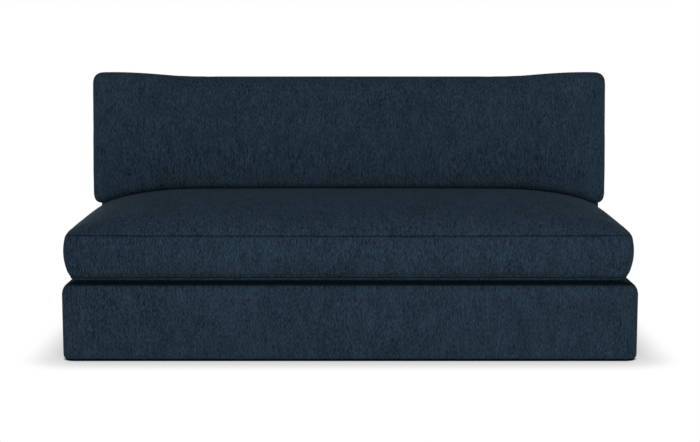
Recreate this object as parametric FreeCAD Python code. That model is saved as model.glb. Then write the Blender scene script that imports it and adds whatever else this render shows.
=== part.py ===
import FreeCAD, Part
import math
import os

os.makedirs("parts", exist_ok=True)

# Armless three seat sofa: a sprung plinth base with a raked back frame, a loose bench seat cushion and a loose
# back cushion. Millimetres, +Z up. The origin lies on the floor under the middle of the sofa, the front faces -Y.

# Overall form
width = 1880.0
depth = 960.0
deck_height = 258.0
back_height = 800.0
back_front_at_deck = 340.0
back_rake = 5.8

# Base and back upholstery
cover = 2.0
wadding = 6.0
ground_clearance = 8.0
corner_radius = 45.0
roll_radius = 40.0
back_edge_radius = 12.0
deck_border = 100.0
hem_width = 25.0
seam_allowance = 14.0
inside_back_pad_thickness = 12.0
roll_seat = 3.5
form_overlap = 20.0

# Timber frame
board = 22.0
rail_height = 200.0
stretcher_height = 90.0
stretcher_place = 310.0
corner_block_leg = 90.0
corner_block_height = 60.0
post_thickness = 44.0
lower_rail_above_deck = 12.0
lower_rail_height = 70.0
bottom_rail_height = 90.0

# Coach screws through the post rebates
screw_shank = 8.0
screw_head_flats = 13.0
screw_head_height = 5.0
screw_bite = 15.0
screw_heights = (60.0, 160.0)
screw_edge_distance = 35.0
round_sides = 8

# Floor glides
glide_diameter = 30.0
glide_taper = 3.0
nail_side = 3.0
nail_length = 16.0
dust_cover_thickness = 1.0
dust_cover_inset = 12.0
glide_inset = 35.0
glide_sides = 12

# Sinuous seat springs
springs_per_bay = 3
spring_legs = 17
spring_width = 52.0
spring_wire = 4.0
spring_bend = 11.0
spring_crown = 16.0
clip_sheet = 1.2
clip_width = 20.0
clip_depth = 14.0
clip_play = 0.3
tie_wire = 2.5
tie_play = 0.1
tie_end_gap = 6.0
insulator = 4.0
insulator_end_gap = 6.0
insulator_side_gap = 4.0
foam_ease = 0.5

# Back webbing
strap_count = 7
strap_width = 50.0
strap_thickness = 1.5

# Seat cushion
seat_side_gap = 9.5
seat_shift = -6.0
seat_front = -475.0
seat_rear = 322.0
seat_lower_seam = 276.0
seat_upper_seam = 411.0
seat_crown = 94.0
seat_crown_run = 400.0
seat_corner = 50.0
seat_lower_roll = 60.0
seat_lower_tuck = 14.0
seat_upper_tuck = 9.0
seat_front_roll = 110.0
seat_rear_roll = 72.0
seat_apex = -20.0
seat_front_rise = 0.62
seat_rear_rise = 0.72
seat_end_drop = 36.0
seat_end_run = 12.0
seat_seam_room = 4.0
seat_tuck_rise = 18.0
seat_foot_turn = 6.0
seat_foot_bow = 0.09
seat_front_bow = 0.08
seat_rear_bow = 0.16

# Back cushion
cushion_side_gap = 4.0
cushion_shift = -3.5
cushion_thickness = 222.0
cushion_foot = 474.5
cushion_height = 410.0
cushion_ear = 19.0
cushion_ear_run = 330.0
cushion_ear_place = 60.0
cushion_foot_drop = 41.0
cushion_corner = 42.0
cushion_front_crown = 16.0
cushion_rear_seam = 32.0
cushion_front_seam = 82.0
cushion_foot_follow = 0.86
cushion_foot_lift = 0.6
cushion_face_tuck = 6.0
cushion_front_foot = 42.0
cushion_rear_foot = 40.0
cushion_front_shoulder = 56.0
cushion_front_top = 58.0
cushion_rear_shoulder = 48.0
cushion_rear_top = 46.0
cushion_rear_dip = 5.0
cushion_edge_bow = 0.2
cushion_top_bow = 0.03
zip_strip_height = 30.0

# Cushion make-up: how the panels rise from their seams, and where the sections of a cushion stand
crown_steepness = 2.4
crown_fullness = 0.75
end_cut = 2.5
end_shares = (0.0, 0.0225, 0.065, 0.175, 0.425, 1.0)
core_shares = (0.0, 0.065, 0.425, 1.0)
fibre_wrap = 12.0
core_gap = 0.4
rest_gap = 0.35
back_gap = 0.5

# Zips
zip_gap = 0.3
zip_end_room = 411.0
zip_stop = 3.0
zip_stop_proud = 1.0
zip_chain_width = 6.0
zip_chain_thickness = 1.6
slider_length = 13.0
slider_wall = 1.2
slider_gap = 0.4
bridge_height = 2.6
bridge_width = 2.4
pull_length = 15.0
pull_width = 7.0
pull_thickness = 1.2
pin_play = 0.25

# Sizes that follow from the ones above
half_width = width / 2
half_depth = depth / 2
seat_half_width = half_width - seat_side_gap
cushion_half_width = half_width - cushion_side_gap
zip_length = 2 * (cushion_half_width - zip_end_room)
rake_slope = math.tan(math.radians(back_rake))
frame_bottom = ground_clearance + cover
rail_top = frame_bottom + rail_height
padding = cover + wadding
frame_x = half_width - padding
frame_front = -half_depth + padding
frame_rear = half_depth - padding
post_front_offset = cover + inside_back_pad_thickness + strap_thickness
post_top = back_height - padding - board
post_inner_x = frame_x - post_thickness
rear_rail_front = back_front_at_deck - (deck_height - frame_bottom) * rake_slope + post_front_offset
spring_front = frame_front + board / 2
spring_rear = rear_rail_front + board / 2
spring_end_height = rail_top + clip_sheet + clip_play + spring_wire / 2
insulator_front = frame_front + board + insulator_end_gap
insulator_rear = rear_rail_front - insulator_end_gap
far = 3000.0


def vec(x, y, z):
    return FreeCAD.Vector(x, y, z)


def block(x0, x1, y0, y1, z0, z1):
    return Part.makeBox(x1 - x0, y1 - y0, z1 - z0, vec(x0, y0, z0))


def prism(points, x0, x1):
    """A solid with a (y, z) outline, from x0 to x1."""
    loop = [vec(x0, y, z) for y, z in points]
    face = Part.Face(Part.makePolygon(loop + [loop[0]]))
    return face.extrude(vec(x1 - x0, 0, 0))


def faceted_solid(rings):
    """A solid of flat faces through closed rings of points, all with the same count, and a cap at each end."""
    faces = []
    for near, next_ring in zip(rings, rings[1:]):
        for index in range(len(near)):
            after = (index + 1) % len(near)
            corners = [near[index], near[after], next_ring[after], next_ring[index]]
            normal = (corners[1] - corners[0]).cross(corners[2] - corners[0])
            if abs(normal.dot(corners[3] - corners[0])) < 1e-7 * normal.Length:
                faces.append(flat_face(corners))
            else:
                faces.append(flat_face(corners[:3]))
                faces.append(flat_face([corners[0]] + corners[2:]))
    faces += [flat_face(rings[0]), flat_face(rings[-1])]
    solid = Part.makeSolid(Part.makeShell(faces))
    if solid.Volume < 0:
        solid.reverse()
    return solid


def flat_face(corners):
    return Part.Face(Part.makePolygon(corners + corners[:1]))


def save(name, shape):
    shape.exportStep("parts/" + name + ".step")


def back_plane(height, inward=0.0):
    """The y of the raked front face of the back at a height, moved into the back by a distance."""
    return back_front_at_deck + (height - deck_height) * rake_slope + inward / math.cos(math.radians(back_rake))


def behind_back_plane(inward=0.0, z0=-far, z1=far):
    """All the space behind the raked front face, between two heights."""
    outline = [(back_plane(z0, inward), z0), (far, z0), (far, z1), (back_plane(z1, inward), z1)]
    return prism(outline, -far, far)


def upright_edges(shape, x, y):
    found = []
    for edge in shape.Edges:
        first, last = edge.Vertexes[0].Point, edge.Vertexes[-1].Point
        if abs(first.x - x) < 1 and abs(last.x - x) < 1 and abs(first.y - y) < 1 and abs(last.y - y) < 1:
            found.append(edge)
    return found


def base_form(inset):
    """The plinth: round front corners, and a soft roll along its front and side top edges."""
    x = half_width - inset
    front = -half_depth + inset
    top = deck_height - inset
    form = block(-x, x, front, half_depth - form_overlap, ground_clearance + min(inset, cover), top)
    form = form.makeFillet(corner_radius - inset, upright_edges(form, x, front) + upright_edges(form, -x, front))
    rolled = []
    for edge in form.Edges:
        box = edge.BoundBox
        if box.ZMin > top - 1 and box.YMin < half_depth - form_overlap - 1:
            rolled.append(edge)
    return form.makeFillet(roll_radius - inset, rolled)


def back_form(inset):
    """The back: a wedge with a raked front face and an upright rear face."""
    x = half_width - inset
    low = ground_clearance + min(inset, cover)
    high = back_height - inset
    outline = [(back_plane(low, inset), low), (half_depth - inset, low), (half_depth - inset, high),
               (back_plane(high, inset), high)]
    form = prism(outline, -x, x)
    soft = [edge for edge in form.Edges if edge.BoundBox.ZMin > high - 1 and edge.BoundBox.XLength > x]
    return form.makeFillet(back_edge_radius - inset, soft)


def sofa_form(inset):
    return base_form(inset).fuse(back_form(inset)).removeSplitter()


# Covers of the base and the back, sewn from panels that meet at their seams
outside = sofa_form(0.0)
cover_inside = sofa_form(cover)
wadding_inside = base_form(padding)
skin = outside.cut(cover_inside)
opening_x = half_width - hem_width
opening_y = half_depth - hem_width
skin = skin.cut(block(-opening_x, opening_x, -opening_y, opening_y, 0, frame_bottom + 1))
border_x = half_width - deck_border
border_y = -half_depth + deck_border
seam_y = half_depth - seam_allowance - cover
seam_z = back_height - seam_allowance
seam_x = half_width - seam_allowance
behind_front = behind_back_plane(0.0)
behind_seam = behind_back_plane(seam_allowance)
base_zone = block(-far, far, -far, half_depth, 0, deck_height).cut(behind_seam)
save("base_front_cover", skin.common(block(-far, far, -far, border_y, 0, deck_height)))
for side, x0, x1 in (("left", -far, -border_x), ("right", border_x, far)):
    zone = block(x0, x1, border_y, half_depth, 0, deck_height)
    save(side + "_side_cover", skin.common(zone).common(base_zone))
deck_zone = block(-border_x, border_x, border_y, half_depth, deck_height - 2 * cover, deck_height)
save("deck_cloth", skin.common(deck_zone).cut(behind_front))
inside_back = skin.common(block(-far, far, 0, half_depth, deck_height, far)).cut(behind_seam)
save("inside_back_cover", inside_back)
save("outside_back_cover", skin.common(block(-far, far, seam_y, far, 0, far)))
back_sides = skin.common(behind_seam).common(block(-far, far, 0, seam_y, 0, far))
save("top_back_boxing", back_sides.common(block(-seam_x, seam_x, 0, far, seam_z, far)))
side_height = back_sides.cut(block(-seam_x, seam_x, 0, far, 0, far))
save("left_back_boxing", side_height.common(block(-far, 0, 0, far, 0, far)))
save("right_back_boxing", side_height.common(block(0, far, 0, far, 0, far)))
dust_x = half_width - dust_cover_inset
dust_y = half_depth - dust_cover_inset
dust_cover = block(-dust_x, dust_x, -dust_y, dust_y, ground_clearance - dust_cover_thickness, ground_clearance)

# Wadding under the covers: round the rails of the base, and over the sides, the rear and the top of the back
base_wadding = base_form(cover).cut(wadding_inside)
base_wadding = base_wadding.common(block(-far, far, -far, far, frame_bottom, rail_top)).cut(behind_front)
save("base_wadding", base_wadding)
back_wadding = back_form(cover).cut(back_form(padding))
save("back_wadding", back_wadding.common(behind_back_plane(post_front_offset, frame_bottom)))

# Timber of the seat frame. Its two front corners are rounded to follow the wadding.
rail_z = (frame_bottom, rail_top)
rail_inner_x = frame_x - board
rail_inner_front = frame_front + board
rear_rail_rear = rear_rail_front + board
rail_plan = block(-frame_x, frame_x, frame_front, frame_rear, *rail_z)
rail_corners = upright_edges(rail_plan, frame_x, frame_front) + upright_edges(rail_plan, -frame_x, frame_front)
rail_plan = rail_plan.makeFillet(corner_radius - padding, rail_corners)
save("front_rail", rail_plan.common(block(-far, far, -far, rail_inner_front, 0, far)))
save("rear_seat_rail", block(-post_inner_x, post_inner_x, rear_rail_front, rear_rail_rear, *rail_z))

# The posts are rebated over the side rails and stand on them
frame_wedge = behind_back_plane(post_front_offset, frame_bottom, post_top).common(
    block(-far, far, 0, frame_rear, 0, far))
lower_rail_z = deck_height + lower_rail_above_deck
lower_rail = behind_back_plane(post_front_offset, lower_rail_z, lower_rail_z + lower_rail_height)
lower_rail = lower_rail.cut(behind_back_plane(post_front_offset + board))
save("back_lower_rail", lower_rail.common(block(-post_inner_x, post_inner_x, 0, far, 0, far)))
top_rail = behind_back_plane(post_front_offset, post_top, post_top + board)
save("back_top_rail", top_rail.common(back_form(padding)))
bottom_rail = block(-post_inner_x, post_inner_x, frame_rear - board, frame_rear,
                    frame_bottom, frame_bottom + bottom_rail_height)
save("back_bottom_rail", bottom_rail)

screw_bottom = post_inner_x + board + screw_bite
screw_rows = []
for z in screw_heights:
    screw_rows.append((rear_rail_rear + screw_edge_distance, z))
    screw_rows.append((frame_rear - screw_edge_distance, z))


def even_bar(sides, across_flats, y, z, x0, x1):
    """A bar along X with an even-sided outline, set by its width across the flats."""
    reach = across_flats / 2 / math.cos(math.pi / sides)
    turns = [2 * math.pi * step / sides for step in range(sides)]
    return prism([(y + reach * math.cos(turn), z + reach * math.sin(turn)) for turn in turns], x0, x1)


def screw_shank_bar(side, y, z):
    """Flats stand for the round shank."""
    return even_bar(round_sides, screw_shank, y, z, side * post_inner_x, side * screw_bottom)


def coach_screw(side, y, z):
    """A hexagon head on the inner face of a post, its shank in the side rail."""
    head = even_bar(6, screw_head_flats, y, z, side * (post_inner_x - screw_head_height), side * post_inner_x)
    return head.fuse(screw_shank_bar(side, y, z))


screws = []
for side_name, side in (("left", -1), ("right", 1)):
    holes = []
    for y, z in screw_rows:
        screws.append(coach_screw(side, y, z))
        holes.append(screw_shank_bar(side, y, z))
    outer, inner = side * frame_x, side * rail_inner_x
    rail = rail_plan.common(block(min(outer, inner), max(outer, inner), rail_inner_front, far, 0, far))
    save(side_name + "_side_rail", rail.cut(holes))
    inner = side * post_inner_x
    post = frame_wedge.common(block(min(outer, inner), max(outer, inner), 0, far, 0, far))
    rebate = side * rail_inner_x
    post = post.cut(block(min(outer, rebate), max(outer, rebate), 0, far, 0, rail_top))
    save(side_name + "_back_post", post.cut(holes))
    middle = side * stretcher_place
    middle_post = frame_wedge.common(block(middle - board / 2, middle + board / 2, rear_rail_rear, far, 0, far))
    middle_post = middle_post.cut([lower_rail, bottom_rail])
    save(side_name + "_middle_post", middle_post)
save("coach_screws", Part.makeCompound(screws))

# Stretchers and corner blocks carry the floor glides, each on a nail through the dust cover
front_glides = []
rear_glides = []
nail_holes = []


def floor_glide(x, y):
    """A foot that narrows to the floor, with flats for its round form."""
    rings = []
    top = ground_clearance - dust_cover_thickness
    for height, radius in ((0.0, glide_diameter / 2 - glide_taper), (top, glide_diameter / 2)):
        ring = []
        for step in range(glide_sides):
            turn = 2 * math.pi * step / glide_sides
            ring.append(vec(x + radius * math.cos(turn), y + radius * math.sin(turn), height))
        rings.append(ring)
    return faceted_solid(rings).fuse(glide_nail(x, y))


def glide_nail(x, y):
    """A cut nail, square in section."""
    half = nail_side / 2
    low = ground_clearance - dust_cover_thickness
    return block(x - half, x + half, y - half, y + half, low, low + nail_length)


for side in (-1, 1):
    for x in (side * stretcher_place, side * (rail_inner_x - glide_inset)):
        for y, glides in ((rail_inner_front + glide_inset, front_glides),
                          (rear_rail_front - glide_inset, rear_glides)):
            glides.append(floor_glide(x, y))
            nail_holes.append(glide_nail(x, y))
for side_name, side in (("left", -1), ("right", 1)):
    middle = side * stretcher_place
    stretcher = block(middle - board / 2, middle + board / 2, rail_inner_front, rear_rail_front,
                      frame_bottom, frame_bottom + stretcher_height)
    save(side_name + "_stretcher", stretcher.cut(nail_holes))
save("front_glides", Part.makeCompound(front_glides))
save("rear_glides", Part.makeCompound(rear_glides))
save("dust_cover", dust_cover.cut(nail_holes))

corner_blocks = []
for side in (-1, 1):
    for y, inward, reach in ((rail_inner_front, 1, rail_inner_x), (rear_rail_front, -1, post_inner_x)):
        corner = vec(side * reach, y, frame_bottom)
        along = vec(side * (reach - corner_block_leg), y, frame_bottom)
        across = vec(side * reach, y + inward * corner_block_leg, frame_bottom)
        face = Part.Face(Part.makePolygon([corner, along, across, corner]))
        corner_blocks.append(face.extrude(vec(0, 0, corner_block_height)).cut(nail_holes))
save("corner_blocks", Part.makeCompound(corner_blocks))


# Sinuous springs: one bent wire each, in an arch from the front rail to the rear seat rail
def spring_height(y):
    middle = (spring_front + spring_rear) / 2
    half_span = (spring_rear - spring_front) / 2
    return spring_end_height + spring_crown * (1 - ((y - middle) / half_span) ** 2)


def sinuous_spring(x):
    """Cross legs joined by blunt bends, left and right in turn. Each bend is flat, at the slope of the arch there."""
    pitch = (spring_rear - spring_front) / (spring_legs - 1)
    half = (spring_width - spring_wire) / 2
    bend = min(spring_bend, pitch / 2 - 1)
    route = [(x - half, spring_front, 0)]
    for leg in range(spring_legs):
        y = spring_front + leg * pitch
        side = 1 if leg % 2 == 0 else -1
        if leg < spring_legs - 1:
            route.append((x + side * (half - bend), y, leg))
            route.append((x + side * half, y + bend, leg))
            route.append((x + side * half, y + pitch - bend, leg))
            route.append((x + side * (half - bend), y + pitch, leg))
        else:
            route.append((x + side * half, y, leg - 1))
    sections = []
    r = spring_wire / 2
    for index, (px, py, bend_number) in enumerate(route):
        before = route[max(index - 1, 0)]
        after = route[min(index + 1, len(route) - 1)]
        turns = []
        for start, end in ((before, route[index]), (route[index], after)):
            if start != end:
                turns.append(math.atan2(end[1] - start[1], end[0] - start[0]))
        half_turn = ((turns[-1] - turns[0] + math.pi) % (2 * math.pi) - math.pi) / 2
        across = turns[0] + half_turn + math.pi / 2
        reach = r / math.cos(half_turn)
        leg_y = spring_front + bend_number * pitch
        slope = (spring_height(leg_y + pitch) - spring_height(leg_y)) / pitch
        corners = []
        for a, b in ((1, 1), (1, -1), (-1, -1), (-1, 1)):
            cx = px + a * reach * math.cos(across)
            cy = py + a * reach * math.sin(across)
            corners.append(vec(cx, cy, spring_height(leg_y) + slope * (cy - leg_y) + b * r))
        sections.append(corners)
    return faceted_solid(sections)


def spring_clip(x, y, inward):
    """A folded strap on the rail that holds the end leg, with its web on the side the spring pulls to."""
    low, high = rail_top, spring_end_height + spring_wire / 2 + clip_play + clip_sheet
    web = y + inward * (clip_depth / 2)
    inner_web = web - inward * clip_sheet
    outer = y - inward * (clip_depth / 2)
    outline = [(web, low), (web, high), (outer, high), (outer, high - clip_sheet), (inner_web, high - clip_sheet),
               (inner_web, low + clip_sheet), (outer, low + clip_sheet), (outer, low)]
    return prism(outline, x - clip_width / 2, x + clip_width / 2)


bays = (("left", -rail_inner_x, -stretcher_place), ("centre", -stretcher_place, stretcher_place),
        ("right", stretcher_place, rail_inner_x))
clips = []
for bay_name, bay_start, bay_end in bays:
    spacing = (bay_end - bay_start) / springs_per_bay
    springs = []
    for number in range(springs_per_bay):
        x = bay_start + (number + 0.5) * spacing
        springs.append(sinuous_spring(x))
        clips.append(spring_clip(x, spring_front, 1))
        clips.append(spring_clip(x, spring_rear, -1))
    save(bay_name + "_bay_springs", Part.makeCompound(springs))
save("spring_clips", Part.makeCompound(clips))

ties = []
for share in (1 / 3, 2 / 3):
    leg = round(share * (spring_legs - 1))
    y = spring_front + leg * (spring_rear - spring_front) / (spring_legs - 1)
    z = spring_height(y) - spring_wire / 2 - tie_wire / 2 - tie_play
    reach = rail_inner_x - tie_end_gap
    r = tie_wire / 2
    ties.append(prism([(y - r, z - r), (y + r, z - r), (y + r, z + r), (y - r, z + r)], -reach, reach))
save("spring_tie_wires", Part.makeCompound(ties))


# Felt over the springs, foam over the felt, and the edge rolls around it
def arch(y0, y1, bottom, top, x0, x1):
    """A sheet that follows the springs, with arched lower and upper faces. A number for top makes it flat."""
    middle = (y0 + y1) / 2

    def low(y):
        return spring_height(y) + bottom

    def high(y):
        return spring_height(y) + top

    lower = Part.Arc(vec(x0, y0, low(y0)), vec(x0, middle, low(middle)), vec(x0, y1, low(y1))).toShape()
    upper = Part.Arc(vec(x0, y1, high(y1)), vec(x0, middle, high(middle)), vec(x0, y0, high(y0))).toShape()
    rear = Part.makeLine(vec(x0, y1, low(y1)), vec(x0, y1, high(y1)))
    front = Part.makeLine(vec(x0, y0, high(y0)), vec(x0, y0, low(y0)))
    return Part.Face(Part.Wire([lower, rear, upper, front])).extrude(vec(x1 - x0, 0, 0))


felt_low = spring_wire / 2 + clip_play
felt_x = rail_inner_x - insulator_side_gap
save("spring_insulator", arch(insulator_front, insulator_rear, felt_low, felt_low + insulator, -felt_x, felt_x))
foam_room = arch(insulator_front - foam_ease, insulator_rear + foam_ease, -far / 10, felt_low + insulator,
                 -felt_x - foam_ease, felt_x + foam_ease)
clip_top = spring_end_height + spring_wire / 2 + clip_sheet + 4 * clip_play
front_clip_room = block(-felt_x, felt_x, frame_front + roll_seat, insulator_front, 0, clip_top)
rear_clip_room = block(-felt_x, felt_x, insulator_rear, far, 0, clip_top)
side_x = rail_inner_x - foam_ease
side_room = block(-side_x, side_x, frame_front, far, 0, rail_top + clip_sheet)
foam_zone = block(-far, far, -far, far, rail_top, far).cut([behind_front, foam_room, front_clip_room, rear_clip_room])
rolls = base_form(cover).common(foam_zone).cut(side_room)
save("front_edge_roll", rolls.common(block(-far, far, -far, border_y, 0, far)))
for side_name, x0, x1 in (("left", -far, -border_x), ("right", border_x, far)):
    save(side_name + "_edge_roll", rolls.common(block(x0, x1, border_y, far, 0, far)))
deck_pad = cover_inside.common(foam_zone).common(block(-border_x, border_x, border_y, far, 0, far)).cut(side_room)
save("deck_pad", deck_pad)

# Inside back: webbing from the lower rail to the top rail, and the pad over it
pad_low = deck_height - cover
pad_high = back_height - back_edge_radius
pad = behind_back_plane(cover, pad_low, pad_high).cut(behind_back_plane(cover + inside_back_pad_thickness))
save("inside_back_pad", pad.common(back_form(cover)))
strap_zone = behind_back_plane(post_front_offset - strap_thickness, lower_rail_z, post_top + board)
strap_zone = strap_zone.cut(behind_back_plane(post_front_offset))
straps = []
for number in range(strap_count):
    x = -frame_x + (number + 0.5) * 2 * frame_x / strap_count
    straps.append(strap_zone.common(block(x - strap_width / 2, x + strap_width / 2, 0, far, 0, far)))
save("back_webbing", Part.makeCompound(straps))


def loop_wire(segments):
    """A closed wire from lines (two points) and arcs (three points)."""
    edges = []
    for points in segments:
        if len(points) == 2:
            edges.append(Part.makeLine(points[0], points[1]))
        else:
            edges.append(Part.Arc(*points).toShape())
    return Part.Wire(edges)


def crown_share(run, whole):
    """How far a sewn panel has risen to its full crown, a run in from its seam."""
    left = max(0.0, 1 - run / whole)
    return (1 - left ** crown_steepness) ** crown_fullness


def quarter_drop(run, radius):
    """The drop of a rounded edge, a run in from its end. It is cut off just before the edge turns square."""
    left = max(0.0, 1 - (run + end_cut) / radius)
    return radius * (1 - math.sqrt(1 - left ** 2))


def seat_section(x, run, inset):
    """One upright section of the seat cushion, a run in from its end, made smaller all round by an inset."""
    front = seat_front + inset + quarter_drop(run, seat_corner)
    rear = seat_rear - inset - quarter_drop(run, seat_corner)
    low = deck_height + rest_gap + inset + quarter_drop(run, seat_lower_roll)
    end_drop = seat_end_drop * max(0.0, 1 - run / seat_end_run) ** 2
    high = seat_upper_seam + seat_crown * crown_share(run, seat_crown_run) - end_drop - inset
    lower_seam = max(seat_lower_seam, low + seat_seam_room)
    upper_seam = min(seat_upper_seam, high - seat_seam_room)
    tuck_share = min(1.0, (lower_seam - low) / seat_tuck_rise)
    tuck = seat_lower_tuck + (seat_lower_roll - seat_lower_tuck) * tuck_share
    middle = (lower_seam + upper_seam) / 2
    rise = high - upper_seam

    def p(y, z):
        return vec(x, y, z)

    shoulder = p(front + seat_front_roll, upper_seam + seat_front_rise * rise)
    heel = p(rear - seat_rear_roll, upper_seam + seat_rear_rise * rise)
    f_low, f_high = p(front + seat_lower_tuck, lower_seam), p(front + seat_upper_tuck, upper_seam)
    r_low, r_high = p(rear - seat_lower_tuck, lower_seam), p(rear - seat_upper_tuck, upper_seam)
    f_foot, r_foot = p(front + tuck + seat_foot_turn, low), p(rear - tuck - seat_foot_turn, low)
    return [
        (r_foot, f_foot),
        (f_foot, bowed(f_foot, f_low, seat_foot_bow), f_low),
        (f_low, p(front, middle), f_high),
        (f_high, bowed(f_high, shoulder, seat_front_bow), shoulder),
        (shoulder, p(seat_apex, high), heel),
        (heel, bowed(heel, r_high, seat_rear_bow), r_high),
        (r_high, p(rear, middle), r_low),
        (r_low, bowed(r_low, r_foot, seat_foot_bow), r_foot),
    ]


def bowed(start, end, share):
    """The middle of an arc from start to end whose height is a share of its chord."""
    chord = end - start
    across = vec(0, -chord.z, chord.y)
    return (start + end) * 0.5 + across * share


def section_places(half_length, shift, inset, shares):
    """Where the sections of a cushion stand, and the run of each from its own end: close together at the two ends
    and wide apart in the middle."""
    reach = half_length - inset
    steps = [share * seat_crown_run for share in shares]
    near_end = [(shift - reach + step, step) for step in steps]
    far_end = [(shift + reach - step, step) for step in reversed(steps)]
    return near_end + [(shift, reach)] + far_end


def sewn_form(section, half_length, shift):
    """The outside of a cushion, lofted through its sections."""
    wires = []
    for x, run in section_places(half_length, shift, 0.0, end_shares):
        wires.append(loop_wire(section(x, run, 0.0)))
    return Part.makeLoft(wires, True, True)


def cut_foam(section, half_length, shift, inset):
    """The filling of a cushion, cut with straight faces: each arc of the outside becomes two flats."""
    rings = []
    for x, run in section_places(half_length, shift, inset, core_shares):
        ring = []
        for points in section(x, run, inset):
            ring += points[:-1]
        rings.append(ring)
    return faceted_solid(rings)


# Seat cushion: the fibre wrap is quilted to the inside of each cover panel, around a core of cut foam
seat_outside = sewn_form(seat_section, seat_half_width, seat_shift)
seat_skin = seat_outside.cut(cut_foam(seat_section, seat_half_width, seat_shift, fibre_wrap))
save("seat_foam_core", cut_foam(seat_section, seat_half_width, seat_shift, fibre_wrap + core_gap))
save("seat_top_panel", seat_skin.common(block(-far, far, -far, far, seat_upper_seam, far)))
save("seat_bottom_panel", seat_skin.common(block(-far, far, -far, far, 0, seat_lower_seam)))
boxing = seat_skin.common(block(-far, far, -far, far, seat_lower_seam, seat_upper_seam))
zip_zone = block(-far, far, seat_rear - seat_corner, far, 0, far)
save("seat_boxing", boxing.cut(zip_zone))
save("seat_zip_strip", boxing.common(zip_zone))


def back_point(x, forward, up):
    """A point of the back cushion: forward from the frame's raked face, and up along it."""
    rake = math.radians(back_rake)
    foot_y = back_plane(cushion_foot) - back_gap
    return vec(x, foot_y - forward * math.cos(rake) + up * math.sin(rake),
               cushion_foot + forward * math.sin(rake) + up * math.cos(rake))


def back_section(x, run, inset):
    """One upright section of the back cushion, a run in from its end, made smaller all round by an inset."""
    pull_in = quarter_drop(run, cushion_corner)
    seat_falls = seat_crown * (1 - crown_share(run, seat_crown_run))
    low = inset - min(cushion_foot_drop, cushion_foot_follow * seat_falls) + cushion_foot_lift * pull_in
    past_ear = min(1.0, max(0.0, (run - cushion_ear_place) / cushion_ear_run))
    high = cushion_height + cushion_ear * math.cos(past_ear * math.pi / 2) ** 2 - inset - pull_in
    rear = inset + pull_in
    front = cushion_thickness - inset - pull_in

    def p(forward, up):
        return back_point(x, forward, up)

    middle = (low + high) / 2
    a = p(rear + cushion_rear_foot, low)
    b = p(front - cushion_front_foot, low)
    c = p(front - cushion_face_tuck, low + cushion_front_foot)
    d = p(front - cushion_face_tuck, high - cushion_front_shoulder)
    e = p(front - cushion_front_top, high)
    f = p(rear + cushion_rear_top, high - cushion_rear_dip)
    g = p(rear, high - cushion_rear_shoulder)
    h = p(rear, low + cushion_rear_foot)
    return [
        (a, b),
        (b, bowed(b, c, cushion_edge_bow), c),
        (c, p(front + cushion_front_crown, middle), d),
        (d, bowed(d, e, cushion_edge_bow), e),
        (e, bowed(e, f, cushion_top_bow), f),
        (f, bowed(f, g, cushion_edge_bow), g),
        (g, h),
        (h, bowed(h, a, cushion_edge_bow), a),
    ]


def cushion_slice(rear_distance, front_distance):
    """All the space between two planes that lie parallel to the raked face of the frame."""
    corners = [back_point(0, rear_distance, -far / 2), back_point(0, front_distance, -far / 2),
               back_point(0, front_distance, far / 2), back_point(0, rear_distance, far / 2)]
    return prism([(corner.y, corner.z) for corner in corners], -far, far)


# Back cushion: four cover panels with their fibre wrap, around the fill
cushion_outside = sewn_form(back_section, cushion_half_width, cushion_shift)
cushion_skin = cushion_outside.cut(cut_foam(back_section, cushion_half_width, cushion_shift, fibre_wrap))
save("back_cushion_fill", cut_foam(back_section, cushion_half_width, cushion_shift, fibre_wrap + core_gap))
save("back_cushion_front_panel", cushion_skin.common(cushion_slice(cushion_front_seam, far)))
save("back_cushion_rear_panel", cushion_skin.common(cushion_slice(-far, cushion_rear_seam)))
strip = cushion_skin.common(cushion_slice(cushion_rear_seam, cushion_front_seam))
below = block(-far, far, -far, far, -far, cushion_foot + zip_strip_height)
save("back_cushion_boxing", strip.cut(below))
save("back_cushion_zip_strip", strip.common(below))


# Zips. Each is made flat, with the chain along X and its outer face up, then laid on its strip.
def zip_chain():
    """The closed row of teeth, with a stop at each end."""
    chain = block(-zip_length / 2, zip_length / 2, -zip_chain_width / 2, zip_chain_width / 2, 0, zip_chain_thickness)
    half = zip_chain_width / 2 + zip_stop_proud
    for end in (-1, 1):
        stop = block(-zip_stop / 2, zip_stop / 2, -half, half, 0, zip_chain_thickness + zip_stop_proud)
        stop.translate(vec(end * (zip_length + zip_stop) / 2, 0, 0))
        chain = chain.fuse(stop)
    return chain.removeSplitter()


slider_half = zip_chain_width / 2 + slider_gap + slider_wall
slider_under = zip_chain_thickness + slider_gap
slider_top = slider_under + slider_wall
pin_height = slider_top + bridge_height / 2


def pin_bar(across, reach):
    """A bar along Y at the height of the pull's pin, with flats for its round form."""
    bar = even_bar(round_sides, across, 0, pin_height, -reach, reach)
    bar.rotate(vec(0, 0, 0), vec(0, 0, 1), 90)
    return bar


def zip_slider():
    """A plate over the chain with a rim down each side, and two ears that hold the pull's pin."""
    plate = block(-slider_length / 2, slider_length / 2, -slider_half, slider_half, slider_under, slider_top)
    for end in (-1, 1):
        inner = end * (slider_half - slider_wall)
        outer = end * slider_half
        rim = block(-slider_length / 2, slider_length / 2, min(inner, outer), max(inner, outer),
                    slider_gap, slider_under)
        near = end * (pull_width / 2 + pin_play)
        far_side = near + end * bridge_width / 2
        ear = block(-bridge_width, bridge_width, min(near, far_side), max(near, far_side),
                    slider_top, slider_top + bridge_height)
        plate = plate.fuse([rim, ear])
    return plate.removeSplitter().cut(pin_bar(pull_thickness + 2 * pin_play, 2 * pull_width))


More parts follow.
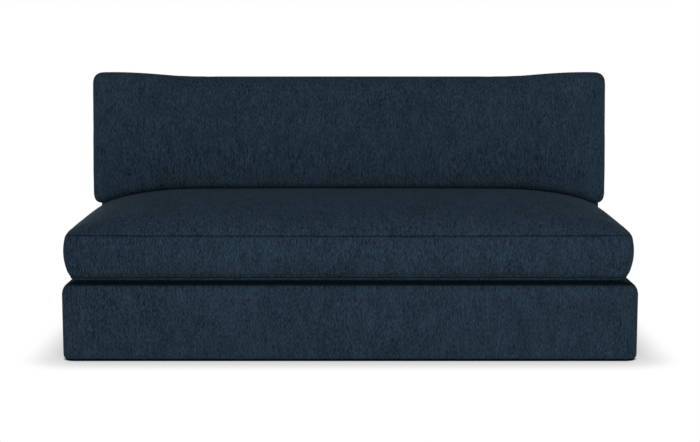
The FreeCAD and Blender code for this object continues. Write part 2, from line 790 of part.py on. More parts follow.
def zip_pull():
    """A flat tab on a round pin, lying along +X."""
    half, tip = pull_width / 2, pull_length + pull_width / 2
    outline = [vec(0, -half, 0), vec(pull_length, -half, 0), vec(tip, -half / 2, 0), vec(tip, half / 2, 0),
               vec(pull_length, half, 0), vec(0, half, 0)]
    tab = Part.Face(Part.makePolygon(outline + [outline[0]])).extrude(vec(0, 0, pull_thickness))
    tab.translate(vec(0, 0, pin_height - pull_thickness / 2))
    return tab.fuse(pin_bar(pull_thickness, half + pin_play + bridge_width / 2)).removeSplitter()


def lay_on_seat(shape):
    """Chain on the rear of the seat cushion, outer face to +Y."""
    placed = shape.copy()
    placed.rotate(vec(0, 0, 0), vec(1, 0, 0), -90)
    middle = (seat_lower_seam + seat_upper_seam) / 2
    placed.translate(vec(seat_shift, seat_rear + zip_gap, middle))
    return placed


def lay_on_back(shape):
    """Chain on the flat foot of the back cushion, outer face down."""
    placed = shape.copy()
    placed.rotate(vec(0, 0, 0), vec(1, 0, 0), 180 - back_rake)
    where = back_point(cushion_shift, (cushion_rear_seam + cushion_front_seam) / 2, -zip_gap)
    placed.translate(where)
    return placed


slider_start = vec(-zip_length / 2 + slider_length, 0, 0)
chain, slider, pull = zip_chain(), zip_slider(), zip_pull()
hanging_pull = pull.copy()
hanging_pull.rotate(vec(0, 0, pin_height), vec(0, 1, 0), -90)
for piece in (slider, pull, hanging_pull):
    piece.translate(slider_start)
save("seat_zip_chain", lay_on_seat(chain))
save("seat_zip_slider", lay_on_seat(slider))
save("seat_zip_pull", lay_on_seat(pull))
save("back_zip_chain", lay_on_back(chain))
save("back_zip_slider", lay_on_back(slider))
save("back_zip_pull", lay_on_back(hanging_pull))
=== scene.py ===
import math

import bmesh
import bpy
import numpy as np
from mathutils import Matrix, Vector, kdtree, noise


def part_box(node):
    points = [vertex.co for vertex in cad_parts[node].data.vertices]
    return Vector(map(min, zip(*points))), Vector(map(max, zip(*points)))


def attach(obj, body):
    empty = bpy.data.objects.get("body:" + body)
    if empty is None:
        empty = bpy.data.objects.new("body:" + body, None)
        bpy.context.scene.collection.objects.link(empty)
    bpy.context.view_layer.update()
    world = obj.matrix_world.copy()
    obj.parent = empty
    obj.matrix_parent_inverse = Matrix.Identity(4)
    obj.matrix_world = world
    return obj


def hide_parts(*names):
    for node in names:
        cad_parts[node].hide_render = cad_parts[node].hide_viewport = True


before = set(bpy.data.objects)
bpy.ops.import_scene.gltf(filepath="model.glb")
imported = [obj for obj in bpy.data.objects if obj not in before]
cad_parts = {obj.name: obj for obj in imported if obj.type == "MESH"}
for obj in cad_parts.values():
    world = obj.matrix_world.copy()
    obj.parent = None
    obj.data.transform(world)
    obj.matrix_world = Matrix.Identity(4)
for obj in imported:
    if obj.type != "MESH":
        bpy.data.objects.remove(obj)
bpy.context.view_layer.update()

# The studio. A white floor that keeps the sofa's soft shadow and is painted near black under the sofa as painted shade,
# a white surround, one broad lamp in front and a little to the right, and a weaker one behind. The camera stands
# straight in front, as the photographer did, at 1.05 m.
bpy.ops.mesh.primitive_grid_add(x_subdivisions=24, y_subdivisions=24, size=36.0, location=(0, 0, 0))
studio_floor = bpy.context.object
studio_floor.name = "studio_floor"


def noded(name):
    """A new material, its node tree and its shader."""
    material = bpy.data.materials.new(name)
    material.use_nodes = True
    return material, material.node_tree, material.node_tree.nodes["Principled BSDF"]


def mixed(tree, factor, low, high):
    """A colour mix; each of the three inputs is a socket or a plain value."""
    mix = tree.nodes.new("ShaderNodeMix")
    mix.data_type = "RGBA"
    for socket, value in ((mix.inputs[0], factor), (mix.inputs[6], low), (mix.inputs[7], high)):
        if isinstance(value, bpy.types.NodeSocket):
            tree.links.new(value, socket)
        else:
            socket.default_value = value if socket.type == "VALUE" else (*value, 1.0)
    return mix.outputs[2]


def number(tree, operation, *inputs):
    """One step of arithmetic; each input is a socket or a plain value."""
    node = tree.nodes.new("ShaderNodeMath")
    node.operation = operation
    for socket, value in zip(node.inputs, inputs):
        if isinstance(value, bpy.types.NodeSocket):
            tree.links.new(value, socket)
        else:
            socket.default_value = value
    return node.outputs[0]


def spread(tree, value, low, high, to_low=0.0, to_high=1.0):
    """A value between low and high, spread over another range and kept inside it."""
    node = tree.nodes.new("ShaderNodeMapRange")
    tree.links.new(value, node.inputs["Value"])
    for name, limit in (("From Min", low), ("From Max", high), ("To Min", to_low), ("To Max", to_high)):
        node.inputs[name].default_value = limit
    return node.outputs["Result"]


def vector_step(tree, operation, value, other=(0, 0, 0)):
    """One step of vector arithmetic on a socket."""
    node = tree.nodes.new("ShaderNodeVectorMath")
    node.operation = operation
    tree.links.new(value, node.inputs[0])
    node.inputs[1].default_value = other
    return node.outputs["Value" if operation == "LENGTH" else "Vector"]


def blended(tree, share, first, second):
    """A shader between two others."""
    mix = tree.nodes.new("ShaderNodeMixShader")
    for socket, value in zip(mix.inputs, (share, first, second)):
        tree.links.new(value, socket)
    return mix.outputs[0]


def white_for_the_camera(tree, other_light, white):
    """White where the camera, a gloss or a glass looks straight at it, and the given light for everything else."""
    path = tree.nodes.new("ShaderNodeLightPath")
    seen = number(tree, "MAXIMUM", path.outputs["Is Camera Ray"], path.outputs["Is Glossy Ray"])
    seen = number(tree, "MAXIMUM", seen, path.outputs["Is Transmission Ray"])
    return blended(tree, seen, other_light, white)


floor_white, painted_shade_under_base, floor_glow = (0.82, 0.82, 0.82), (0.02, 0.02, 0.02), 0.42
half_plan_inside_corners = (0.896, 0.436, 0)
glow_starts, glow_is_full = 0.037, 0.046
shadow_fades_from, shadow_is_gone = 0.055, 0.20
floor_paint, tree, paint = noded("white_studio_floor")
paint.inputs["Roughness"].default_value = 0.9
paint.inputs["Specular IOR Level"].default_value = 0.0
place = tree.nodes.new("ShaderNodeTexCoord")
beside = vector_step(tree, "ABSOLUTE", place.outputs["Object"])
outside = vector_step(tree, "SUBTRACT", beside, half_plan_inside_corners)
from_sofa = vector_step(tree, "LENGTH", vector_step(tree, "MAXIMUM", outside))
lift_share = spread(tree, from_sofa, glow_starts, glow_is_full)
lift = tree.nodes.new("ShaderNodeEmission")
tree.links.new(number(tree, "MULTIPLY", lift_share, floor_glow), lift.inputs["Strength"])
# Inside the sofa's plan the floor is painted near black, a painted shade under the base; outside it the floor is white
# and glows.
tree.links.new(mixed(tree, lift_share, painted_shade_under_base, floor_white), paint.inputs["Base Color"])
lifted = tree.nodes.new("ShaderNodeAddShader")
tree.links.new(paint.outputs[0], lifted.inputs[0])
tree.links.new(lift.outputs[0], lifted.inputs[1])
far_share = spread(tree, from_sofa, shadow_fades_from, shadow_is_gone)
far_share.node.interpolation_type = "SMOOTHSTEP"
white_far = tree.nodes.new("ShaderNodeEmission")
fading = blended(tree, far_share, lifted.outputs[0], white_far.outputs[0])
tree.links.new(white_for_the_camera(tree, paint.outputs[0], fading), tree.nodes["Material Output"].inputs["Surface"])
studio_floor.data.materials.append(floor_paint)

surround = bpy.data.worlds.new("white_surround")
surround.use_nodes = True
tree = surround.node_tree
sky = tree.nodes["Background"]
sky.inputs["Color"].default_value = (1, 1, 1, 1)
level_light, overhead_light = 0.72, 0.18
looking = tree.nodes.new("ShaderNodeTexCoord")
upward = tree.nodes.new("ShaderNodeSeparateXYZ")
tree.links.new(looking.outputs["Generated"], upward.inputs[0])
tree.links.new(spread(tree, upward.outputs["Z"], 0.0, 1.0, level_light, overhead_light), sky.inputs["Strength"])
white_paper = tree.nodes.new("ShaderNodeBackground")
white_paper.inputs["Color"].default_value = (1, 1, 1, 1)
white_paper.inputs["Strength"].default_value = 1.0
tree.links.new(white_for_the_camera(tree, sky.outputs[0], white_paper.outputs[0]),
               tree.nodes["World Output"].inputs["Surface"])
bpy.context.scene.world = surround


def soft_lamp(name, place, aim, width, height, watts):
    data = bpy.data.lights.new(name, "AREA")
    data.shape, data.size, data.size_y, data.energy = "RECTANGLE", width, height, watts
    lamp = bpy.data.objects.new(name, data)
    lamp.location = place
    lamp.rotation_euler = (Vector(aim) - Vector(place)).to_track_quat("-Z", "Y").to_euler()
    bpy.context.scene.collection.objects.link(lamp)


soft_lamp("front_lamp", (0.45, -4.9, 1.65), (0.0, 0.0, 0.45), 3.0, 1.5, 80)
soft_lamp("rear_lamp", (-1.6, 5.2, 1.3), (0.0, 0.4, 0.4), 3.0, 1.6, 50)

photographer = bpy.data.cameras.new("photographer")
photographer.lens = 74.41
photographer.sensor_width = 36.0
camera = bpy.data.objects.new("photographer", photographer)
camera.location = (0.0, -5.094, 1.053)
camera.rotation_euler = (math.radians(90 - 7.315), 0, 0)
bpy.context.scene.collection.objects.link(camera)
bpy.context.scene.camera = camera
bpy.context.scene.view_settings.view_transform = "Standard"

# Timber frame. Rails, posts, stretchers and corner blocks are sawn from birch plywood, glued and screwed. The faces
# show the veneer's grain and the sawn edges its plies. The solids of the model are kept as they are.


def grain(tree, per_metre, scale=1.0, detail=2.0, roughness=0.5, distortion=0.0):
    """Noise whose lumps are set by their number per metre along x, y and z of the object."""
    place = tree.nodes.new("ShaderNodeTexCoord")
    stretch = tree.nodes.new("ShaderNodeMapping")
    stretch.inputs["Scale"].default_value = per_metre
    tree.links.new(place.outputs["Object"], stretch.inputs["Vector"])
    cloud = tree.nodes.new("ShaderNodeTexNoise")
    for name, value in (("Scale", scale), ("Detail", detail), ("Roughness", roughness), ("Distortion", distortion)):
        cloud.inputs[name].default_value = value
    tree.links.new(stretch.outputs[0], cloud.inputs["Vector"])
    return cloud.outputs["Fac"]


def facing(tree, axis):
    """How far a face looks along one of the object's axes, from 0 to 1."""
    place = tree.nodes.new("ShaderNodeTexCoord")
    split = tree.nodes.new("ShaderNodeSeparateXYZ")
    tree.links.new(place.outputs["Normal"], split.inputs[0])
    return number(tree, "ABSOLUTE", split.outputs[axis])


def bumped(tree, shader, height, depth, strength=1.0):
    """Gives a shader a fine relief."""
    bump = tree.nodes.new("ShaderNodeBump")
    bump.inputs["Strength"].default_value = strength
    bump.inputs["Distance"].default_value = depth
    tree.links.new(height, bump.inputs["Height"])
    tree.links.new(bump.outputs[0], shader.inputs["Normal"])


def finish_solids(names, material):
    """Puts one material on solids of the model."""
    for name in names:
        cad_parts[name].data.materials.clear()
        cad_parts[name].data.materials.append(material)


plywood, tree, wood = noded("birch_plywood")
along_x = grain(tree, (2.5, 60, 60), detail=5, distortion=0.6)
plies = grain(tree, (1.0, 1.0, 700), detail=0)
veneer = mixed(tree, spread(tree, along_x, 0.35, 0.65), (0.60, 0.43, 0.25), (0.74, 0.57, 0.37))
edge = mixed(tree, spread(tree, plies, 0.45, 0.55), (0.30, 0.18, 0.09), (0.68, 0.50, 0.31))
tree.links.new(mixed(tree, spread(tree, facing(tree, "Z"), 0.7, 0.9), veneer, edge), wood.inputs["Base Color"])
tree.links.new(spread(tree, along_x, 0.3, 0.7, 0.55, 0.75), wood.inputs["Roughness"])
bumped(tree, wood, along_x, 0.0004)
timber = ["front_rail", "left_side_rail", "right_side_rail", "rear_seat_rail", "left_stretcher", "right_stretcher",
          "corner_blocks", "left_back_post", "right_back_post", "left_middle_post", "right_middle_post",
          "back_top_rail", "back_lower_rail", "back_bottom_rail"]
finish_solids(timber, plywood)

# Steel of the frame. Zinc plated coach screws go through the post rebates, and folded clips are nailed on the rails to
# hold the springs' end legs.


def steel(name, colour, roughness, rolled):
    """Drawn or plated steel, with streaks that run along the wire and faint blotches."""
    metal, tree, shader = noded(name)
    shader.inputs["Metallic"].default_value = 1.0
    blotch = grain(tree, (90, 90, 90), detail=4)
    streak = grain(tree, rolled, detail=2)
    dull = tuple(c * 0.62 for c in colour)
    tree.links.new(mixed(tree, spread(tree, blotch, 0.35, 0.7), colour, dull), shader.inputs["Base Color"])
    tree.links.new(spread(tree, streak, 0.3, 0.7, roughness - 0.08, roughness + 0.12), shader.inputs["Roughness"])
    bumped(tree, shader, streak, 0.0002, 0.5)
    return metal


zinc = steel("zinc_plate", (0.66, 0.67, 0.69), 0.38, (300, 300, 300))
clip_steel = steel("clip_steel", (0.50, 0.50, 0.50), 0.42, (20, 600, 20))
finish_solids(["coach_screws"], zinc)
finish_solids(["spring_clips"], clip_steel)

# Sinuous springs. Each is one 4 mm wire bent left and right in turn, arched from the front rail to the rear seat rail,
# three in each bay. Two tie wires cross under them all.
spring_wire_steel = steel("spring_wire", (0.36, 0.36, 0.37), 0.35, (400, 40, 400))
clips_low, clips_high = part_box("spring_clips")
spring_front, spring_rear = clips_low.y + 0.007, clips_high.y - 0.007
spring_end_height = clips_low.z + 0.0035
spring_crown, spring_legs, spring_half, wire_radius = 0.016, 17, 0.024, 0.002


def spring_height(y):
    """The height of the arched springs from front to rear."""
    half_span = (spring_rear - spring_front) / 2
    return spring_end_height + spring_crown * (1 - ((y - spring_front - half_span) / half_span) ** 2)


def wire(name, routes, radius, metal):
    """Round wires along routes of points, as one curve object."""
    curve = bpy.data.curves.new(name, "CURVE")
    curve.dimensions, curve.bevel_depth, curve.bevel_resolution = "3D", radius, 2
    curve.use_fill_caps = True
    for route in routes:
        line = curve.splines.new("BEZIER")
        line.bezier_points.add(len(route) - 1)
        line.resolution_u = 4
        for point, place in zip(line.bezier_points, route):
            point.co = place
            point.handle_left_type = point.handle_right_type = "AUTO"
    thing = bpy.data.objects.new(name, curve)
    bpy.context.scene.collection.objects.link(thing)
    curve.materials.append(metal)
    return thing


def spring_route(x):
    """One spring's bends: straight legs from side to side, joined by round turns."""
    pitch = (spring_rear - spring_front) / (spring_legs - 1)
    route = []
    for leg in range(spring_legs):
        y = spring_front + leg * pitch
        side = 1 if leg % 2 == 0 else -1
        for across, ahead in ((-0.55, 0), (0.55, 0), (0.88, 0.16), (1.0, 0.5), (0.88, 0.84)):
            if leg < spring_legs - 1 or ahead == 0:
                there = y + ahead * pitch
                route.append((x + side * across * spring_half, there, spring_height(there)))
    return route


for bay in ("left", "centre", "right"):
    low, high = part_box(bay + "_bay_springs")
    reach = (high.x - low.x - 0.052) / 2
    middle = (low.x + high.x) / 2
    springs = wire(bay + "_springs", [spring_route(middle + step * reach) for step in (-1, 0, 1)],
                   wire_radius, spring_wire_steel)
    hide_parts(bay + "_bay_springs")
    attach(springs, "frame")
ties_low, ties_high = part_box("spring_tie_wires")
ties = []
for y in (ties_low.y + 0.00125, ties_high.y - 0.00125):
    z = spring_height(y) - wire_radius - 0.0014
    ties.append([(ties_low.x, y, z), (-0.45, y, z - 0.0006), (0.0, y, z), (0.45, y, z - 0.0006), (ties_high.x, y, z)])
tie_wires = wire("tie_wires", ties, 0.00125, spring_wire_steel)
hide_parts("spring_tie_wires")
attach(tie_wires, "frame")

# Padding under the covers. Polyester wadding goes round the rails and the back and a felt sheet over the springs. The
# deck, the edge rolls and the inside back are cut foam, and elastic webbing is stapled over the back frame.


def padding(name, light, dark, lumps, depth, sheen=0.2):
    """Fibre, felt or foam: a pale colour that changes a little from lump to lump."""
    soft, tree, shader = noded(name)
    shader.inputs["Roughness"].default_value = 0.95
    shader.inputs["Specular IOR Level"].default_value = 0.15
    shader.inputs["Sheen Weight"].default_value = sheen
    cells = grain(tree, (lumps, lumps, lumps), detail=6, roughness=0.7)
    cloud = grain(tree, (7, 7, 7), detail=2)
    shade = number(tree, "ADD", number(tree, "MULTIPLY", cells, 0.6), number(tree, "MULTIPLY", cloud, 0.4))
    tree.links.new(mixed(tree, spread(tree, shade, 0.38, 0.62), dark, light), shader.inputs["Base Color"])
    bumped(tree, shader, cells, depth)
    return soft


fibre = padding("polyester_fibre", (0.86, 0.86, 0.83), (0.70, 0.70, 0.68), 90, 0.003)
foam = padding("cut_foam", (0.80, 0.71, 0.44), (0.68, 0.58, 0.33), 700, 0.0006, 0.05)
felt = padding("springs_felt", (0.34, 0.32, 0.30), (0.16, 0.15, 0.15), 260, 0.002)
webbing, tree, strap = noded("elastic_webbing")
strap.inputs["Roughness"].default_value = 0.8
ribs = number(tree, "MULTIPLY", grain(tree, (8, 8, 900)), 0.6)
ribs = number(tree, "ADD", grain(tree, (500, 2, 2), detail=0), ribs)
tree.links.new(mixed(tree, spread(tree, ribs, 0.6, 0.95), (0.02, 0.02, 0.022), (0.12, 0.12, 0.125)),
               strap.inputs["Base Color"])
bumped(tree, strap, ribs, 0.0006)
finish_solids(["base_wadding", "back_wadding", "back_cushion_fill"], fibre)
finish_solids(["deck_pad", "front_edge_roll", "left_edge_roll", "right_edge_roll", "inside_back_pad", "seat_foam_core"],
              foam)
finish_solids(["spring_insulator"], felt)
finish_solids(["back_webbing"], webbing)

# Covers of the plinth base. Navy chenille is pulled round the rails, rolled over the soft front and side edges and
# stapled under the rails. A hand's width of it lies on the deck as a border and is sewn there to the deck cloth.
NAVY = (0.0189, 0.0368, 0.0568)


def chenille(name, navy):
    """Chenille: short slubs of pile lie along the warp, with a fine weft rib across them, and the pile's lie makes
    cloudy lighter and darker patches. On faces that look sideways the warp is counted along y in place of x. Where
    the mesh has a seam mark the cloth is painted darker: along the seams' own lines as painted shade in their creases,
    and on the base's roll as a painted shadow of the gap under the seat cushion's edge."""
    cloth, tree, shader = noded(name)
    shader.inputs["Specular IOR Level"].default_value = 0.02
    shader.inputs["Sheen Weight"].default_value = 0.02
    shader.inputs["Sheen Roughness"].default_value = 0.45
    shader.inputs["Sheen Tint"].default_value = (0.45, 0.62, 0.75, 1)
    sideways = spread(tree, facing(tree, "X"), 0.62, 0.78)

    def flecks(across, along, detail, roughness):
        """Flecks counted per metre across the warp and along it, whichever way the face looks."""
        return mixed(tree, sideways, grain(tree, (across, along, along), detail=detail, roughness=roughness),
                     grain(tree, (along, across, along), detail=detail, roughness=roughness))

    slub, dash, pile = flecks(520, 92, 1, 0.5), flecks(500, 26, 2, 0.6), flecks(1150, 340, 2, 0.6)
    weft = grain(tree, (60, 60, 950), detail=1)
    cloud = grain(tree, (4.2, 3.2, 3.2), detail=4, roughness=0.62, distortion=0.5)
    patch = grain(tree, (26, 16, 16), detail=3, roughness=0.6)
    tone = number(tree, "MULTIPLY", slub, 0.46)
    for layer, share in ((dash, 0.24), (pile, 0.12), (cloud, 0.08), (patch, 0.10)):
        tone = number(tree, "MULTIPLY_ADD", layer, share, tone)
    light = tuple(c * k for c, k in zip(navy, (2.00, 1.86, 1.74)))
    dark = tuple(c * k for c, k in zip(navy, (0.30, 0.35, 0.40)))
    colour = mixed(tree, spread(tree, tone, 0.39, 0.61), dark, light)
    # The seam mark paints the cloth darker: painted shade in the seams' creases and a painted shadow on the base's
    # roll.
    seam = tree.nodes.new("ShaderNodeAttribute")
    seam.attribute_name = "seam"
    shadow = tuple(c * 0.12 for c in navy)
    colour = mixed(tree, number(tree, "MULTIPLY", seam.outputs["Fac"], 0.8), colour, shadow)
    tree.links.new(colour, shader.inputs["Base Color"])
    tree.links.new(spread(tree, slub, 0.3, 0.7, 0.72, 0.95), shader.inputs["Roughness"])
    relief = number(tree, "MULTIPLY_ADD", pile, 0.5, slub)
    relief = number(tree, "MULTIPLY_ADD", weft, 0.25, relief)
    bumped(tree, shader, relief, 0.0012, 0.8)
    return cloth


base_low, base_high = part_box("base_front_cover")
inside_low, inside_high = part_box("inside_back_cover")
deck_low, deck_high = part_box("deck_cloth")
half_width, front = base_high.x, base_low.y
hem_hangs = 0.004
hem, deck = base_low.z - hem_hangs, base_high.z
border_x, border_y = deck_high.x, deck_low.y
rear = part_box("outside_back_cover")[1].y
back_top = inside_high.z
rake = math.tan(math.radians(5.8))
back_front = inside_low.y
corner, roll, seam_turn = 0.044, 0.041, 0.014


def raked(z, inward=0.0):
    """The y of the back's raked face at a height, moved into the back."""
    return back_front + (z - deck) * rake + inward


def steps(start, end, size, close_to_start=(), close_to_end=()):
    """Places from start to end: some at set distances from each end, and even steps of about a size between."""
    first = [start + d for d in close_to_start]
    last = [end - d for d in reversed(close_to_end)]
    a, b = (first[-1] if first else start), (last[0] if last else end)
    count = max(1, round((b - a) / size))
    middle = [a + (b - a) * k / count for k in range(count + 1)]
    return np.array([start] * bool(first and first[0] > start) + first[:-1] + middle + last[1:]
                    + [end] * bool(last and last[-1] < end))


def piece_of_cloth(name, mesh, cloth, thickness):
    """A smooth piece of cloth of one mesh, with its thickness on the inner side."""
    tidy = bmesh.new()
    tidy.from_mesh(mesh)
    bmesh.ops.remove_doubles(tidy, verts=tidy.verts, dist=0.00005)
    bmesh.ops.delete(tidy, geom=[v for v in tidy.verts if not v.link_faces], context="VERTS")
    tidy.to_mesh(mesh)
    tidy.free()
    mesh.materials.append(cloth)
    for face in mesh.polygons:
        face.use_smooth = True
    thing = bpy.data.objects.new(name, mesh)
    bpy.context.scene.collection.objects.link(thing)
    if thickness:
        thick = thing.modifiers.new("cloth_thickness", "SOLIDIFY")
        thick.thickness, thick.offset = thickness, -1.0
    return thing


def rounded(points, low, high, radii):
    """Points on the faces of a box, moved so that its edges are round. radii are for the low and the high side of
    each axis, and 0 leaves that side square."""
    inner = points.copy()
    scale = np.ones_like(points)
    for axis in range(3):
        from_low, from_high = radii[axis]
        inner[..., axis] = np.clip(points[..., axis], low[axis] + from_low, high[axis] - from_high)
        near_low = points[..., axis] < inner[..., axis]
        scale[..., axis] = np.maximum(np.where(near_low, from_low, from_high), 1e-6)
    out = (points - inner) / scale
    size = np.linalg.norm(out, axis=-1, keepdims=True)
    reach = np.abs(out).max(axis=-1, keepdims=True)
    return inner + out / np.maximum(size, 1e-9) * reach * scale


def ripple(points, amount, per_metre, seed):
    """Soft unevenness of stuffing under cloth."""
    flat = points.reshape(-1, 3)
    lift = np.array([noise.fractal(Vector((p[0], p[1], p[2])) * per_metre + Vector((seed, 0, 0)), 1.0, 2.0, 3)
                     for p in flat])
    return (lift * amount).reshape(points.shape[:-1])


navy_frame = chenille("navy_chenille_frame", NAVY)
zs = steps(hem, deck, 0.014, (0.0, 0.004, 0.010, 0.020), (0.0, 0.006, 0.014, 0.024))
xs_side = steps(border_x, half_width, 0.013, (0.0, 0.005, 0.012), (0.0, 0.008, 0.018, 0.030))
xs = np.concatenate([-xs_side[::-1], steps(-border_x, border_x, 0.02)[1:-1], xs_side])
ys_front = steps(front, border_y, 0.013, (0.0, 0.008, 0.018, 0.030), (0.0, 0.005, 0.012))
ys_side = np.linspace(0, 1, 42)
base_box = ((-half_width, front, hem - 1), (half_width, rear + 1, deck))
base_radii = ((roll, roll), (roll, 0), (0, roll))
# The hem in section: how far each place lies in from the wall and over the lower edge.
under = ((0.0250, 0.0034), (0.0160, 0.0026), (0.0090, 0.0006), (0.0045, 0.0022), (0.0016, 0.0056), (0.0004, 0.0105))


def base_points(plan):
    """The wall of the base along a plan of places on its square outline, from the hem up to the deck."""
    return rounded(np.array([[(x, y, z) for z in zs] for x, y in plan]), *base_box, base_radii)


def with_hem(wall):
    """Adds the round lower edge and the turned-under hem below a wall."""
    out = []
    for column in wall:
        low = Vector(column[0])
        centre = Vector((min(max(low.x, -half_width + corner), half_width - corner), max(low.y, front + corner), low.z))
        away = low - centre
        if abs(low.x) >= half_width - 1e-6:
            away = Vector((math.copysign(1, low.x), 0, 0))
        away.z = 0
        away.normalize()
        strip = [tuple(Vector((low.x, low.y, hem + up)) - away * inset) for inset, up in under]
        above = [tuple(p) for p in column if p[2] > hem + 0.013]
        out.append(strip + above)
    return np.array(out)


plan_left = [(-half_width, y) for y in ys_front[::-1]]
plan_front = [(x, front) for x in xs[1:-1]]
plan_right = [(half_width, y) for y in ys_front]
front_plan = plan_left + plan_front + plan_right
front_wall = with_hem(base_points(front_plan))
bulge = ripple(front_wall, 0.0016, 3.2, 11.0)
front_wall[..., 1] -= (bulge * np.clip((half_width - 0.05 - np.abs(front_wall[..., 0])) / 0.04, 0, 1)
                       * np.clip((front_wall[..., 2] - 0.02) / 0.05, 0, 1))
top = rounded(np.array([[(x, y, deck) for y in ys_front] for x in xs]), *base_box, base_radii)


def stitched_cover(name, grids, cloth, nodes, body, slot, thickness=0.0016):
    """Several grids joined to one cover, with the seams that lie in it closed. The roll under the seat cushion's
    edge gets a mark that paints it darker: a painted shadow of the gap there, which stays when the cushion is lifted."""
    vertices, cells, start = [], [], 0
    for points in grids:
        rows, columns = points.shape[:2]
        vertices += [tuple(p) for p in points.reshape(-1, 3)]
        for i in range(rows - 1):
            for j in range(columns - 1):
                a = start + i * columns + j
                cells.append((a, a + 1, a + columns + 1, a + columns))
        start += rows * columns
    mesh = bpy.data.meshes.new(name)
    mesh.from_pydata(vertices, [], cells)
    tidy = bmesh.new()
    tidy.from_mesh(mesh)
    bmesh.ops.remove_doubles(tidy, verts=tidy.verts, dist=0.0002)
    bmesh.ops.recalc_face_normals(tidy, faces=tidy.faces)
    middle = Vector((0, 0.05, 0.15 if slot == "frame_chenille" else 0.35))
    outward = sum(f.normal.dot(f.calc_center_median() - middle) * f.calc_area() for f in tidy.faces)
    if outward < 0:
        bmesh.ops.reverse_faces(tidy, faces=tidy.faces)
    tidy.to_mesh(mesh)
    tidy.free()
    thing = piece_of_cloth(name, mesh, cloth, thickness)
    # The seam mark here is no seam: it is a painted shadow on the roll under the seat cushion's edge.
    painted_shadow_gap = mesh.attributes.new("seam", "FLOAT", "POINT")
    for vertex, mark in zip(mesh.vertices, painted_shadow_gap.data):
        x, y, z = vertex.co
        inward = min(y - front, half_width - abs(x))
        painted_shadow_on_roll = min(max((z - deck + 0.0125) / 0.004, 0), 1) * min(max((0.055 - inward) / 0.02, 0), 1)
        mark.value = 1.2 * painted_shadow_on_roll if z < deck + 0.001 and y < border_y + 0.6 else 0.0
    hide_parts(*nodes)
    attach(thing, body)
    return thing


stitched_cover("base_front_chenille", [front_wall, top], navy_frame, ["base_front_cover"], "frame", "frame_chenille")
for side, name in ((-1, "left"), (1, "right")):
    wall = []
    for share in ys_side:
        column = []
        for z in zs:
            end = raked(z, seam_turn)
            column.append((side * half_width, border_y + (end - border_y) * share, z))
        wall.append(column)
    wall = with_hem(rounded(np.array(wall), *base_box, base_radii))
    border = [[(side * x, border_y + (raked(deck) - border_y) * share, deck) for share in ys_side] for x in xs_side]
    border = rounded(np.array(border), *base_box, base_radii)
    stitched_cover(name + "_side_chenille", [wall, border], navy_frame, [name + "_side_cover"], "frame",
                   "frame_chenille")

# Deck cloth. A plain dark lining that nobody sees, sewn to the border and laid over the springs' foam.
lining, tree, plain = noded("deck_lining")
plain.inputs["Roughness"].default_value = 0.9
weave = number(tree, "MULTIPLY", spread(tree, grain(tree, (900, 90, 90), detail=0), 0.3, 0.7),
               spread(tree, grain(tree, (90, 900, 90), detail=0), 0.3, 0.7))
tree.links.new(mixed(tree, weave, (0.006, 0.009, 0.013), (0.017, 0.024, 0.034)), plain.inputs["Base Color"])
bumped(tree, plain, weave, 0.0004)
deck_x, deck_y = steps(-border_x, border_x, 0.03), steps(border_y, raked(deck), 0.03)
lining_points = np.array([[(x, y, deck - 0.0004) for y in deck_y] for x in deck_x])
lining_points[..., 2] -= 0.0008 + np.abs(ripple(lining_points, 0.0012, 6.0, 3.0))
stitched_cover("deck_lining", [lining_points], lining, ["deck_cloth"], "frame", "deck_lining")

# Covers of the back. The inside back is pulled over its pad and round the posts, two boxing strips close the sides and
# one the top, and the outside back is drawn tight over the rear. All are chenille and meet in plain seams.
edge_radius = 0.0044
ts = steps(0.0, 1.0, 0.14)


def back_spot(x, depth, z, from_rear=False):
    """A place on the back by its width, its depth behind the raked face (or before the rear) and its height, with
    all the edges round."""
    whole = rear - raked(z)
    w = whole - depth if from_rear else depth
    low, high = (-half_width, 0.0, -1.0), (half_width, whole, back_top)
    inner = [min(max(v, a + edge_radius), b - edge_radius) for v, a, b in zip((x, w, z), low, high)]
    out = [v - i for v, i in zip((x, w, z), inner)]
    size, reach = math.sqrt(sum(o * o for o in out)), max(abs(o) for o in out)
    if size > 1e-9:
        x, w, z2 = (i + o / size * reach for i, o in zip(inner, out))
    else:
        z2 = z
    return (x, raked(z) + w, z2)


edge_steps = (0.0, 0.0018, 0.0036, 0.0055, 0.014)
heights = steps(deck, back_top, 0.03, (0.0,), edge_steps)
all_heights = np.concatenate([steps(hem, deck, 0.03, (0.0, 0.01))[:-1], heights])
widths = steps(-half_width, half_width, 0.04, edge_steps, edge_steps)
# The inside back goes down behind the rolled edges of the base, so that no wood shows beside the deck.
tucked_heights = np.concatenate([(deck - roll - 0.002, deck - roll / 2), heights])
turn = np.array(edge_steps)
inside_face = np.array([[back_spot(x, 0.0, z) for z in tucked_heights] for x in widths])
inside_left = np.array([[back_spot(-half_width, d, z) for z in tucked_heights] for d in turn])
inside_right = np.array([[back_spot(half_width, d, z) for z in tucked_heights] for d in turn])
inside_top = np.array([[back_spot(x, d, back_top) for d in turn] for x in widths])
stitched_cover("inside_back_chenille", [inside_face, inside_left, inside_right, inside_top], navy_frame,
               ["inside_back_cover"], "frame", "frame_chenille")
outside_face = np.array([[back_spot(x, 0.0, z, True) for z in all_heights] for x in widths])
rear_turn = np.array((0.0, 0.0018, 0.0036, 0.0055, 0.016))
outside_left = np.array([[back_spot(-half_width, d, z, True) for z in all_heights] for d in rear_turn])
outside_right = np.array([[back_spot(half_width, d, z, True) for z in all_heights] for d in rear_turn])
outside_top = np.array([[back_spot(x, d, back_top, True) for d in rear_turn] for x in widths])
stitched_cover("outside_back_chenille", [outside_face, outside_left, outside_right, outside_top], navy_frame,
               ["outside_back_cover"], "frame", "frame_chenille")


